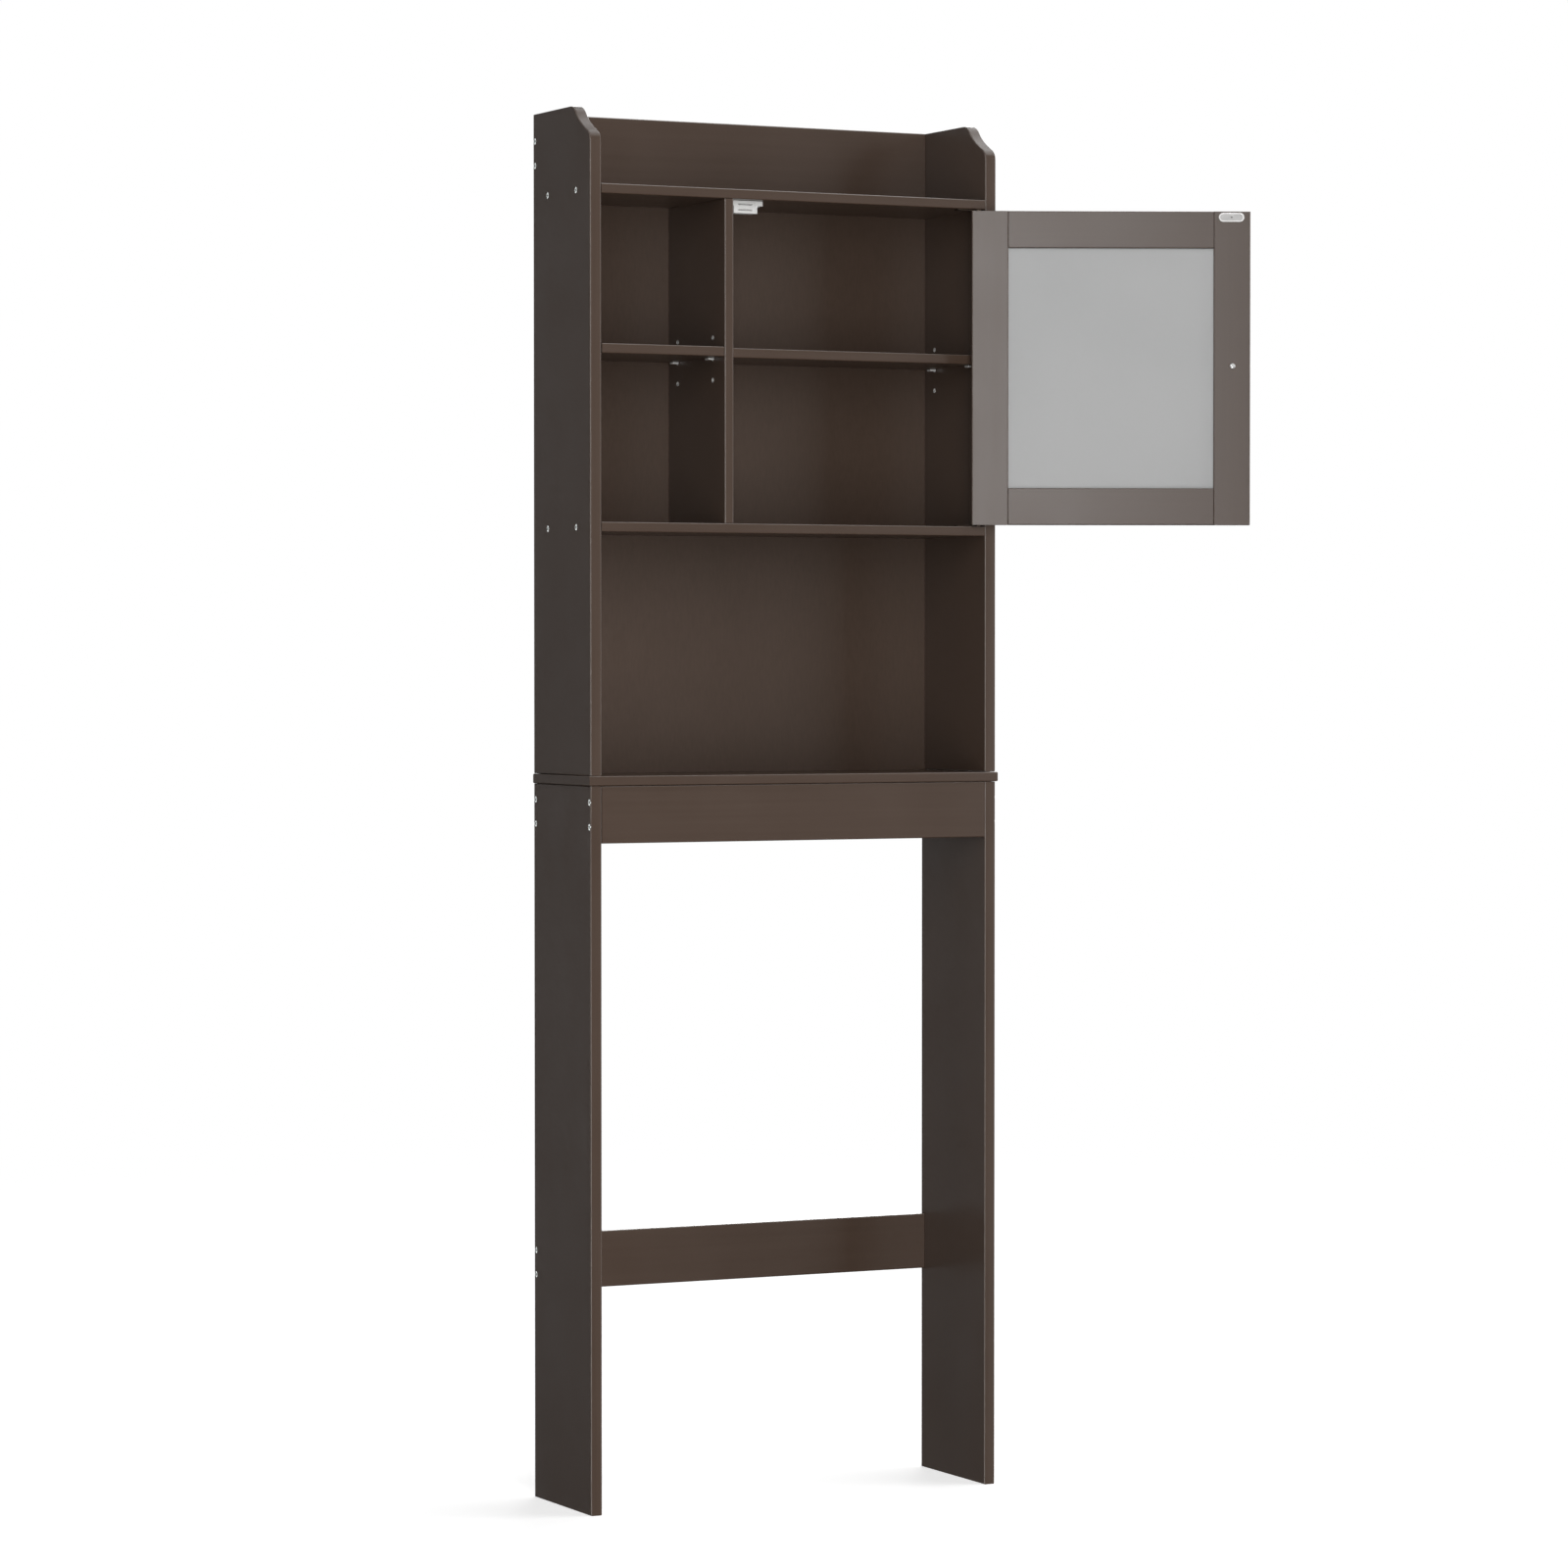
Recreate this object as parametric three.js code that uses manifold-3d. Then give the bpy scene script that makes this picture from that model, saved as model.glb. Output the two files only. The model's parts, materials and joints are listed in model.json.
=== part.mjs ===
// Over-the-toilet storage rack: two legs straddle the toilet and carry a main board, and a
// cabinet stands on that board. The cabinet has an open tier, two open compartments with an
// adjustable shelf, a closed compartment with its own adjustable shelf and a framed frosted
// door, and an open top with a guard board behind it.
//
// Millimetres, +X to the right, +Y towards the wall, +Z up. The origin is on the floor,
// midway between the legs and between the front and rear edges of the side panels. The door
// is modelled open, at DOOR_OPEN_DEG from closed.

import * as THREE from "three";
import { mergeVertices } from "three/addons/utils/BufferGeometryUtils.js";
import Module from "manifold-3d";

// ---------------------------------------------------------------- driving dimensions

const WIDTH = 560; // over the side panels
const DEPTH = 168;
const HEIGHT = 1713;

const SIDE_T = 15; // side panels, legs and the door frame
const BOARD_T = 12; // main board, shelves and partition
const RAIL_T = 9; // guard, aprons and stretcher
const SHEET_T = 3; // hardboard back
const EDGE_R = 1.5; // softened edges of the side panels and boards
const FIT = 0.3; // play between pieces that touch

const STRETCHER_BOTTOM = 257.5;
const RAIL_HEIGHT = 70; // aprons and stretcher
const MAIN_BOARD_TOP = 899;
const MAIN_BOARD_OVERHANG = 2.2; // past the side panels
const MAIN_BOARD_FORWARD = 2.5; // past their front edges
const CABINET_FLOOR = 1207; // top of the cabinet's bottom shelf
const MID_SHELF_TOP = 1423;
const TOP_SHELF_TOP = 1616;
const PARTITION_CENTRE_X = -92.7;
const RIGHT_SHELF_SETBACK = 20; // clears the door's hinge end as it swings
const SHELF_END_PLAY = 1; // each end of an adjustable shelf

const SHEET_CENTRE_Y = 77.5;
const GROOVE_DEPTH = 4.3; // how far the back panel's grooves are cut
const SHEET_INSET = 4; // how far the back panel reaches into them

// The shaped front corner at the top of each side panel, as points that lie so far behind the
// front edge and so far below the top: where it starts, then each bend's control and end.
const CREST_START = [60, 0];
const CREST_BENDS = [
  [[48.5, 0], [41.5, 9.5]],
  [[33.5, 20.5], [9.5, 32.3]],
  [[0, 37], [0, 47]],
];

const SCREW_HEAD_R = 4;
const SCREW_HEAD_RIM = 0.6;
const SCREW_HEAD_DEPTH = 2.6;
const SCREW_SHANK_R = 2.3;
const SCREW_LENGTH = 41;
const SCREW_TIP_LENGTH = 3;
const SCREW_SOCKET_R = 1.9;
const SCREW_SOCKET_DEPTH = 1.6;
const SCREW_RECESS = 0.3; // head below the panel's face
const RAIL_SCREW_PITCH = 30;
const SHELF_SCREW_Y = 42; // either side of the middle of the depth

const PIN_R = 2.5; // shelf pins and the columns of holes they plug into
const PIN_REACH = 5.2;
const PIN_HOLE_DEPTH = 5.6;
const PIN_COLUMN_Y = 50;
const PIN_PITCH = 26;
const PAD_REACH = 8.5;
const PAD_WIDTH = 10;
const PAD_TOP = 1.2; // above the hole's centre
const PAD_T = 2.6;

const DOOR_OPEN_DEG = 155.3;
const DOOR_SIDE_GAP = 0.85;
const DOOR_BOTTOM_GAP = 1.8;
const DOOR_TOP_GAP = 2.7;
const DOOR_FRAME_WIDTH = 46; // stiles and rails
const PANE_T = 4;
const PANE_INSET = 8; // how far the pane reaches into the frame's groove
const AXIS_FROM_SIDE = 9.5; // hinge axis from the right side panel's inner face
const AXIS_BEHIND_FACE = 1.8; // and behind the closed door's front face

const LEAF_T = 1.2;
const LEAF_LENGTH = 28;
const LEAF_BACK = 10.2; // the leaf runs this far behind the axis
const LEAF_FRONT = 1.2;
const KNUCKLE_R = 3.4;
const HINGE_PIN_R = 1.2;
const LEAF_SCREW_R = 1.7;
const LEAF_SCREW_U = [-11, -22];
const LEAF_SCREW_V = 5.7;

const KNOB_FROM_EDGE = 22.5;
const KNOB_ABOVE_MIDDLE = 3;
const KNOB_BORE_R = 2.2;
const KNOB_BORE_DEPTH = 12;
// The knob's foot, waist, head and crown, as [distance out from the door, radius].
const KNOB_FOOT = [[0, 8], [1.6, 8]];
const KNOB_WAIST = [[3.2, 6.2], [9, 5.6], [13, 8.4], [16, 12]];
const KNOB_HEAD = [[19, 13], [21.6, 12.2], [23.4, 9], [24.2, 4.6], [24.4, 0]];

const STRIKE_LENGTH = 32;
const STRIKE_HEIGHT = 11.4;
const STRIKE_T = 1.2;
const STRIKE_FROM_EDGE = 23.9;
const STRIKE_BELOW_TOP = 7.2;

const CATCH_FLANGE_WIDTH = 47;
const CATCH_FLANGE_T = 6;
const CATCH_WIDTH = 32;
const CATCH_HEIGHT = 15.5;
const CATCH_DEPTH = 15;
const CATCH_CLEARANCE = 0.6; // to the strike plate when the door is shut
const CATCH_FRONT_WALL = 1.6;
const CATCH_PANEL_WIDTH = 26; // a shallow recess in the front of the housing
const CATCH_PANEL_MARGIN = 1.8;
const CATCH_PANEL_DEPTH = 0.4;
const MAGNET_ABOVE_STRIKE = 1.6;
const MAGNET_WIDTH = 18.4;
const MAGNET_HEIGHT = 7.8;
const MAGNET_DEPTH = 12;
const POLE_T = 1; // the steel plates above and below the magnet
const POLE_PROUD = 0.3; // how far they stand out of the housing's front

const ROUND_STEPS = 12; // screws and pins
const HOLE_STEPS = 24;
const KNOB_STEPS = 28;
const EDGE_STEPS = 3;
const CURVE_STEPS = 6;

// ---------------------------------------------------------------- derived places

const SIDES = [[-1, "left"], [1, "right"]]; // each side's direction along X, and its word
const HALF_W = WIDTH / 2;
const HALF_D = DEPTH / 2;
const INNER_X = HALF_W - SIDE_T; // inner faces of the side panels
const MAIN_BOARD_BOTTOM = MAIN_BOARD_TOP - BOARD_T;
const TOP_SHELF_BOTTOM = TOP_SHELF_TOP - BOARD_T;
const MID_SHELF_BOTTOM = MID_SHELF_TOP - BOARD_T;
const PARTITION_LEFT_X = PARTITION_CENTRE_X - BOARD_T / 2;
const PARTITION_RIGHT_X = PARTITION_CENTRE_X + BOARD_T / 2;
const SHEET_FRONT_Y = SHEET_CENTRE_Y - SHEET_T / 2;
const REAR_RAIL_Y = HALF_D - RAIL_T / 2;
const FRONT_RAIL_Y = -REAR_RAIL_Y;
const APRON_MID_Z = MAIN_BOARD_BOTTOM - RAIL_HEIGHT / 2;
const GUARD_MID_Z = (TOP_SHELF_TOP + HEIGHT) / 2;
const STRETCHER_MID_Z = STRETCHER_BOTTOM + RAIL_HEIGHT / 2;
const PIN_Z = MID_SHELF_BOTTOM - FIT - PAD_TOP; // the hole that each pin is in

const AXIS_X = INNER_X - AXIS_FROM_SIDE;
const AXIS_Y = -HALF_D + AXIS_BEHIND_FACE;
const DOOR_BOTTOM = CABINET_FLOOR + DOOR_BOTTOM_GAP;
const DOOR_TOP = TOP_SHELF_BOTTOM - DOOR_TOP_GAP;
const DOOR_FREE_X = PARTITION_RIGHT_X + DOOR_SIDE_GAP - AXIS_X; // in the door's own frame
const DOOR_HINGE_X = AXIS_FROM_SIDE - DOOR_SIDE_GAP;
const DOOR_FRONT_Y = -AXIS_BEHIND_FACE;
const DOOR_BACK_Y = DOOR_FRONT_Y + SIDE_T;
const DOOR_MID_Y = (DOOR_FRONT_Y + DOOR_BACK_Y) / 2;
const KNOB_X = DOOR_FREE_X + KNOB_FROM_EDGE;
const KNOB_Z = (DOOR_BOTTOM + DOOR_TOP) / 2 + KNOB_ABOVE_MIDDLE;
const STRIKE_X = DOOR_FREE_X + STRIKE_FROM_EDGE;
const STRIKE_Z = DOOR_TOP - STRIKE_BELOW_TOP;
const CATCH_FRONT_Y = AXIS_Y + DOOR_BACK_Y + FIT + STRIKE_T + CATCH_CLEARANCE;
const MAGNET_Z = STRIKE_Z + MAGNET_ABOVE_STRIKE;

// ---------------------------------------------------------------- colours

const finishes = {
  laminate: { color: 0x53463e, roughness: 0.45, metalness: 0 },
  hardboard: { color: 0x3b312c, roughness: 0.6, metalness: 0 },
  frosted: { color: 0xacacac, roughness: 0.6, metalness: 0 },
  nickel: { color: 0xc8ccc8, roughness: 0.3, metalness: 1 },
  bronze: { color: 0x3d332c, roughness: 0.45, metalness: 0.8 },
  plastic: { color: 0xe8e8e6, roughness: 0.5, metalness: 0 },
  ferrite: { color: 0x3a3a3c, roughness: 0.6, metalness: 0.3 },
};

// ---------------------------------------------------------------- solids

const wasm = await Module();
wasm.setup();

function toSolid(geometry) {
  const bare = geometry.clone();
  bare.deleteAttribute("normal");
  bare.deleteAttribute("uv");
  const merged = mergeVertices(bare, 1e-4);
  return new wasm.Manifold(
    new wasm.Mesh({
      numProp: 3,
      vertProperties: merged.attributes.position.array,
      triVerts: new Uint32Array(merged.index.array),
    }),
  );
}

function toGeometry(solid) {
  const { vertProperties, triVerts } = solid.getMesh();
  const geometry = new THREE.BufferGeometry()
    .setAttribute("position", new THREE.BufferAttribute(vertProperties, 3))
    .setIndex(new THREE.BufferAttribute(triVerts, 1))
    .toNonIndexed();
  geometry.computeVertexNormals();
  return geometry;
}

function carve(geometry, cutters) {
  const start = toSolid(geometry);
  return toGeometry(cutters.reduce((solid, cutter) => solid.subtract(toSolid(cutter)), start));
}

function join(geometry, others) {
  const start = toSolid(geometry);
  return toGeometry(others.reduce((solid, other) => solid.add(toSolid(other)), start));
}

// ---------------------------------------------------------------- basic shapes

const X = new THREE.Vector3(1, 0, 0);
const Y = new THREE.Vector3(0, 1, 0);
const Z = new THREE.Vector3(0, 0, 1);
const DRAWN_IN_YZ = new THREE.Matrix4().makeBasis(Y, Z, X); // runs along +X
const DRAWN_IN_XZ = new THREE.Matrix4().makeBasis(X, Z, Y.clone().negate()); // runs along -Y

function block(x0, x1, y0, y1, z0, z1) {
  return new THREE.BoxGeometry(x1 - x0, y1 - y0, z1 - z0).translate(
    (x0 + x1) / 2,
    (y0 + y1) / 2,
    (z0 + z1) / 2,
  );
}

function rectangle(u0, u1, v0, v1) {
  return new THREE.Shape()
    .moveTo(u0, v0)
    .lineTo(u1, v0)
    .lineTo(u1, v1)
    .lineTo(u0, v1);
}

// A rectangle with round corners; an obround when the radius is half its height.
function roundedRectangle(u0, u1, v0, v1, r) {
  const turn = Math.PI / 2;
  return new THREE.Shape()
    .moveTo(u0 + r, v0)
    .absarc(u1 - r, v0 + r, r, -turn, 0)
    .absarc(u1 - r, v1 - r, r, 0, turn)
    .absarc(u0 + r, v1 - r, r, turn, 2 * turn)
    .absarc(u0 + r, v0 + r, r, 2 * turn, 3 * turn);
}

// A plain extrusion of an outline, from 0 to the given length.
function prism(outline, length, curveSegments = EDGE_STEPS) {
  return new THREE.ExtrudeGeometry(outline, { depth: length, bevelEnabled: false, curveSegments });
}

// An extrusion whose two faces have softened edges.
function softSlab(outline, thickness, radius = EDGE_R) {
  return new THREE.ExtrudeGeometry(outline, {
    depth: thickness - 2 * radius,
    bevelThickness: radius,
    bevelSize: radius,
    bevelOffset: -radius,
    bevelSegments: EDGE_STEPS,
    curveSegments: CURVE_STEPS,
  }).translate(0, 0, radius);
}

// A board between two uprights: its section is softened, its ends are square.
function crossBoard(x0, x1, y0, y1, z0, z1, radius = EDGE_R) {
  return prism(roundedRectangle(y0, y1, z0, z1, radius), x1 - x0)
    .applyMatrix4(DRAWN_IN_YZ)
    .translate(x0, 0, 0);
}

// An upright whose section is softened and whose ends are square.
function upright(x0, x1, y0, y1, z0, z1, radius = EDGE_R) {
  return prism(roundedRectangle(x0, x1, y0, y1, radius), z1 - z0).translate(0, 0, z0);
}

// A solid of revolution about +X from [distance along X, radius] points.
function turned(points, steps = ROUND_STEPS) {
  const profile = points.map(([along, radius]) => new THREE.Vector2(radius, along));
  return new THREE.LatheGeometry(profile, steps).rotateZ(-Math.PI / 2);
}

// ---------------------------------------------------------------- the assembly's groups

const rack = new THREE.Group();
const door = new THREE.Group();
door.position.set(AXIS_X, AXIS_Y, 0);
door.rotation.z = THREE.MathUtils.degToRad(DOOR_OPEN_DEG);
rack.add(door);

function add(group, name, geometry, finish) {
  const mesh = new THREE.Mesh(geometry, new THREE.MeshStandardMaterial(finishes[finish]));
  mesh.name = name;
  group.add(mesh);
  return mesh;
}

// ---------------------------------------------------------------- structural screws

// Countersunk screws that pass through a side panel or leg into the end of a board.
const screwedBoards = {
  top_guard: railScrews(REAR_RAIL_Y, GUARD_MID_Z),
  top_shelf: shelfScrews(TOP_SHELF_TOP - BOARD_T / 2),
  cabinet_bottom_shelf: shelfScrews(CABINET_FLOOR - BOARD_T / 2),
  front_apron: railScrews(FRONT_RAIL_Y, APRON_MID_Z),
  rear_apron: railScrews(REAR_RAIL_Y, APRON_MID_Z),
  rear_stretcher: railScrews(REAR_RAIL_Y, STRETCHER_MID_Z),
};

function railScrews(y, z) {
  return { lower: [y, z - RAIL_SCREW_PITCH / 2], upper: [y, z + RAIL_SCREW_PITCH / 2] };
}

function shelfScrews(z) {
  return { front: [-SHELF_SCREW_Y, z], rear: [SHELF_SCREW_Y, z] };
}

function screwGeometry() {
  const body = turned([
    [0, 0],
    [0, SCREW_HEAD_R],
    [SCREW_HEAD_RIM, SCREW_HEAD_R],
    [SCREW_HEAD_DEPTH, SCREW_SHANK_R],
    [SCREW_LENGTH - SCREW_TIP_LENGTH, SCREW_SHANK_R],
    [SCREW_LENGTH, 0],
  ]);
  const across = SCREW_SOCKET_R;
  const socket = new THREE.CylinderGeometry(across, across, 2 * SCREW_SOCKET_DEPTH, 6);
  return carve(body, [socket.rotateZ(Math.PI / 2)]);
}

function screwCutter() {
  const coneShift = FIT / 2;
  const outside = -2 * SCREW_HEAD_RIM;
  const end = SCREW_LENGTH + FIT;
  return turned(
    [
      [outside, 0],
      [outside, SCREW_HEAD_R + FIT],
      [SCREW_HEAD_RIM + coneShift, SCREW_HEAD_R + FIT],
      [SCREW_HEAD_DEPTH + coneShift, SCREW_SHANK_R + FIT],
      [end, SCREW_SHANK_R + FIT],
      [end, 0],
    ],
    HOLE_STEPS,
  );
}

// Turns a piece drawn at the left side (side -1) into its place on either side.
function atSide(side, [y, z], inset) {
  const place = new THREE.Matrix4().makeTranslation(side * (HALF_W - inset), y, z);
  return side < 0 ? place : place.multiply(new THREE.Matrix4().makeRotationZ(Math.PI));
}

function screwCuts(board, sides) {
  const places = Object.values(screwedBoards[board]);
  return sides.flatMap((side) =>
    places.map((place) => screwCutter().applyMatrix4(atSide(side, place, SCREW_RECESS))),
  );
}

function addScrews() {
  const geometry = screwGeometry();
  for (const [board, places] of Object.entries(screwedBoards)) {
    for (const [side, word] of SIDES) {
      for (const [where, place] of Object.entries(places)) {
        const screw = add(rack, `${word}_${board}_screw_${where}`, geometry, "nickel");
        screw.applyMatrix4(atSide(side, place, SCREW_RECESS));
      }
    }
  }
}

// ---------------------------------------------------------------- shelf pins

// Each wall that holds pins: its face's X, and the way its pins point.
const pinWalls = {
  left_shelf_left: [-INNER_X, 1],
  left_shelf_right: [PARTITION_LEFT_X, -1],
  right_shelf_left: [PARTITION_RIGHT_X, 1],
  right_shelf_right: [INNER_X, -1],
};

// A spoon pin on +X: a round peg behind the wall's face and a flat pad in front of it.
function pinGeometry() {
  const overlap = 2 * FIT;
  const peg = turned([
    [-PIN_REACH, 0],
    [-PIN_REACH, PIN_R],
    [overlap, PIN_R],
    [overlap, 0],
  ]);
  const pad = prism(
    roundedRectangle(FIT, PAD_REACH, -PAD_WIDTH / 2, PAD_WIDTH / 2, PAD_REACH / 4),
    PAD_T,
  ).translate(0, 0, PAD_TOP - PAD_T);
  return join(peg, [pad]);
}

function pinHoleCuts(wall) {
  const [faceX, way] = pinWalls[wall];
  const heights = [-1, 0, 1].map((step) => PIN_Z + step * PIN_PITCH);
  return heights.flatMap((z) =>
    [-PIN_COLUMN_Y, PIN_COLUMN_Y].map((y) =>
      turned(
        [
          [-PIN_HOLE_DEPTH, 0],
          [-PIN_HOLE_DEPTH, PIN_R + FIT],
          [1, PIN_R + FIT],
          [1, 0],
        ],
        HOLE_STEPS,
      )
        .rotateZ(way > 0 ? 0 : Math.PI)
        .translate(faceX, y, z),
    ),
  );
}

function addPins() {
  const geometry = pinGeometry();
  for (const [wall, [faceX, way]] of Object.entries(pinWalls)) {
    for (const [word, y] of [["front", -PIN_COLUMN_Y], ["rear", PIN_COLUMN_Y]]) {
      const pin = add(rack, `${wall}_${word}_pin`, geometry, "nickel");
      pin.position.set(faceX, y, PIN_Z);
      pin.rotation.z = way > 0 ? 0 : Math.PI;
    }
  }
}

// ---------------------------------------------------------------- uprights

// The side panel's outline in (Y, Z): a flat top that sweeps down to the front edge.
function upperSideOutline() {
  const front = -HALF_D;
  const bottom = MAIN_BOARD_TOP + FIT;
  const crestPoint = ([behind, below]) => [front + behind, HEIGHT - below];
  const outline = new THREE.Shape()
    .moveTo(front, bottom)
    .lineTo(HALF_D, bottom)
    .lineTo(HALF_D, HEIGHT)
    .lineTo(...crestPoint(CREST_START));
  for (const [control, end] of CREST_BENDS) {
    outline.quadraticCurveTo(...crestPoint(control), ...crestPoint(end));
  }
  return outline;
}

function sideSlab(outline, side) {
  return softSlab(outline, SIDE_T)
    .applyMatrix4(DRAWN_IN_YZ)
    .translate(side < 0 ? -HALF_W : INNER_X, 0, 0);
}

function backGroove(side) {
  const [near, far] = [side * (INNER_X - 1), side * (INNER_X + GROOVE_DEPTH)];
  return block(
    Math.min(near, far),
    Math.max(near, far),
    SHEET_FRONT_Y - FIT,
    SHEET_FRONT_Y + SHEET_T + FIT,
    MAIN_BOARD_TOP - 1,
    TOP_SHELF_TOP,
  );
}

function addUprights() {
  const leg = rectangle(-HALF_D, HALF_D, 0, MAIN_BOARD_BOTTOM - FIT);
  for (const [side, word] of SIDES) {
    const upperCuts = [
      backGroove(side),
      ...["top_guard", "top_shelf", "cabinet_bottom_shelf"].flatMap((b) => screwCuts(b, [side])),
      ...pinHoleCuts(`${word}_shelf_${word}`),
    ];
    const legCuts = ["front_apron", "rear_apron", "rear_stretcher"].flatMap((b) =>
      screwCuts(b, [side]),
    );
    const upper = carve(sideSlab(upperSideOutline(), side), upperCuts);
    add(rack, `${word}_upper_side_panel`, upper, "laminate");
    add(rack, `${word}_leg_panel`, carve(sideSlab(leg, side), legCuts), "laminate");
  }
  const partition = upright(
    PARTITION_LEFT_X,
    PARTITION_RIGHT_X,
    -HALF_D,
    SHEET_FRONT_Y - FIT,
    CABINET_FLOOR + FIT,
    TOP_SHELF_BOTTOM - FIT,
  );
  const holes = [...pinHoleCuts("left_shelf_right"), ...pinHoleCuts("right_shelf_left")];
  add(rack, "partition", carve(partition, holes), "laminate");
}

// ---------------------------------------------------------------- boards and rails

function addScrewedBoard(name, y0, y1, z0, z1, grooves = []) {
  const board = crossBoard(-INNER_X + FIT, INNER_X - FIT, y0, y1, z0, z1);
  add(rack, name, carve(board, [...screwCuts(name, [-1, 1]), ...grooves]), "laminate");
}

function addBoards() {
  const grooveFront = SHEET_FRONT_Y - FIT;
  const grooveBack = SHEET_FRONT_Y + SHEET_T + FIT;
  const sheetReach = INNER_X + GROOVE_DEPTH;

  const shelfGroove = block(
    -HALF_W,
    HALF_W,
    grooveFront,
    grooveBack,
    TOP_SHELF_BOTTOM - 1,
    TOP_SHELF_BOTTOM + GROOVE_DEPTH,
  );
  addScrewedBoard("top_shelf", -HALF_D, HALF_D, TOP_SHELF_BOTTOM, TOP_SHELF_TOP, [shelfGroove]);
  addScrewedBoard(
    "cabinet_bottom_shelf",
    -HALF_D,
    SHEET_FRONT_Y - FIT,
    CABINET_FLOOR - BOARD_T,
    CABINET_FLOOR,
  );

  const rearFace = HALF_D - RAIL_T;
  addScrewedBoard("top_guard", rearFace, HALF_D, TOP_SHELF_TOP + FIT, HEIGHT);
  const apronBottom = MAIN_BOARD_BOTTOM - RAIL_HEIGHT;
  const apronTop = MAIN_BOARD_BOTTOM - FIT;
  addScrewedBoard("front_apron", -HALF_D, -rearFace, apronBottom, apronTop);
  addScrewedBoard("rear_apron", rearFace, HALF_D, apronBottom, apronTop);
  const stretcherTop = STRETCHER_BOTTOM + RAIL_HEIGHT;
  addScrewedBoard("rear_stretcher", rearFace, HALF_D, STRETCHER_BOTTOM, stretcherTop);

  const boardX = HALF_W + MAIN_BOARD_OVERHANG;
  const main = softSlab(
    rectangle(-boardX, boardX, -HALF_D - MAIN_BOARD_FORWARD, HALF_D - MAIN_BOARD_FORWARD),
    BOARD_T,
  ).translate(0, 0, MAIN_BOARD_BOTTOM);
  const mainGroove = block(
    -sheetReach,
    sheetReach,
    grooveFront,
    grooveBack,
    MAIN_BOARD_TOP - GROOVE_DEPTH,
    MAIN_BOARD_TOP + 1,
  );
  add(rack, "main_board", carve(main, [mainGroove]), "laminate");

  const sheet = block(
    -INNER_X - SHEET_INSET,
    INNER_X + SHEET_INSET,
    SHEET_FRONT_Y,
    SHEET_FRONT_Y + SHEET_T,
    MAIN_BOARD_TOP - SHEET_INSET,
    TOP_SHELF_BOTTOM + SHEET_INSET,
  );
  add(rack, "back_panel", sheet, "hardboard");

  addAdjustableShelf("left", -INNER_X, PARTITION_LEFT_X, -HALF_D);
  addAdjustableShelf("right", PARTITION_RIGHT_X, INNER_X, -HALF_D + RIGHT_SHELF_SETBACK);
}

function addAdjustableShelf(word, leftWall, rightWall, frontY) {
  const shelf = crossBoard(
    leftWall + SHELF_END_PLAY,
    rightWall - SHELF_END_PLAY,
    frontY,
    SHEET_FRONT_Y - 2 * FIT,
    MID_SHELF_BOTTOM,
    MID_SHELF_TOP,
  );
  add(rack, `${word}_adjustable_shelf`, shelf, "laminate");
}

// ---------------------------------------------------------------- magnetic catch

// A T-shaped housing under the top shelf, with a magnet in a pocket in its front.
function addCatch() {
  const centreX = AXIS_X + STRIKE_X;
  const top = TOP_SHELF_BOTTOM - FIT;
  const flangeHalf = CATCH_FLANGE_WIDTH / 2;
  const bodyHalf = CATCH_WIDTH / 2;
  const outline = new THREE.Shape()
    .moveTo(-bodyHalf, top - CATCH_HEIGHT)
    .lineTo(bodyHalf, top - CATCH_HEIGHT)
    .lineTo(bodyHalf, top - CATCH_FLANGE_T)
    .lineTo(flangeHalf, top - CATCH_FLANGE_T)
    .lineTo(flangeHalf, top)
    .lineTo(-flangeHalf, top)
    .lineTo(-flangeHalf, top - CATCH_FLANGE_T)
    .lineTo(-bodyHalf, top - CATCH_FLANGE_T);
  const housing = prism(outline, CATCH_DEPTH)
    .applyMatrix4(DRAWN_IN_XZ)
    .translate(centreX, CATCH_FRONT_Y + CATCH_DEPTH, 0);
  const alongX = (width, y0, y1, z0, z1) =>
    block(centreX - width / 2, centreX + width / 2, y0, y1, z0, z1);
  const panel = alongX(
    CATCH_PANEL_WIDTH,
    CATCH_FRONT_Y - 1,
    CATCH_FRONT_Y + CATCH_PANEL_DEPTH,
    top - CATCH_HEIGHT + CATCH_PANEL_MARGIN,
    top - CATCH_PANEL_MARGIN,
  );
  const pocketFront = CATCH_FRONT_Y + CATCH_FRONT_WALL;
  const [low, high] = [MAGNET_Z - MAGNET_HEIGHT / 2, MAGNET_Z + MAGNET_HEIGHT / 2];
  const slotWidth = MAGNET_WIDTH + 2 * FIT;
  const pocketBack = CATCH_FRONT_Y + CATCH_DEPTH + 1;
  const pocket = alongX(slotWidth, pocketFront, pocketBack, low - FIT, high + FIT);
  const poles = [[low, low + POLE_T], [high - POLE_T, high]];
  const slots = poles.map(([z0, z1]) =>
    alongX(slotWidth, CATCH_FRONT_Y - 1, pocketFront + 1, z0 - FIT, z1 + FIT),
  );
  add(rack, "magnetic_catch_housing", carve(housing, [panel, pocket, ...slots]), "plastic");

  // The magnet and its two pole plates, which reach through the slots.
  const magnetBack = CATCH_FRONT_Y + MAGNET_DEPTH;
  const core = alongX(MAGNET_WIDTH, pocketFront + FIT, magnetBack, low, high);
  const plates = poles.map(([z0, z1]) =>
    alongX(MAGNET_WIDTH, CATCH_FRONT_Y - POLE_PROUD, magnetBack, z0, z1),
  );
  add(rack, "catch_magnet", join(core, plates), "ferrite");
}

// ---------------------------------------------------------------- knife hinges

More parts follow.
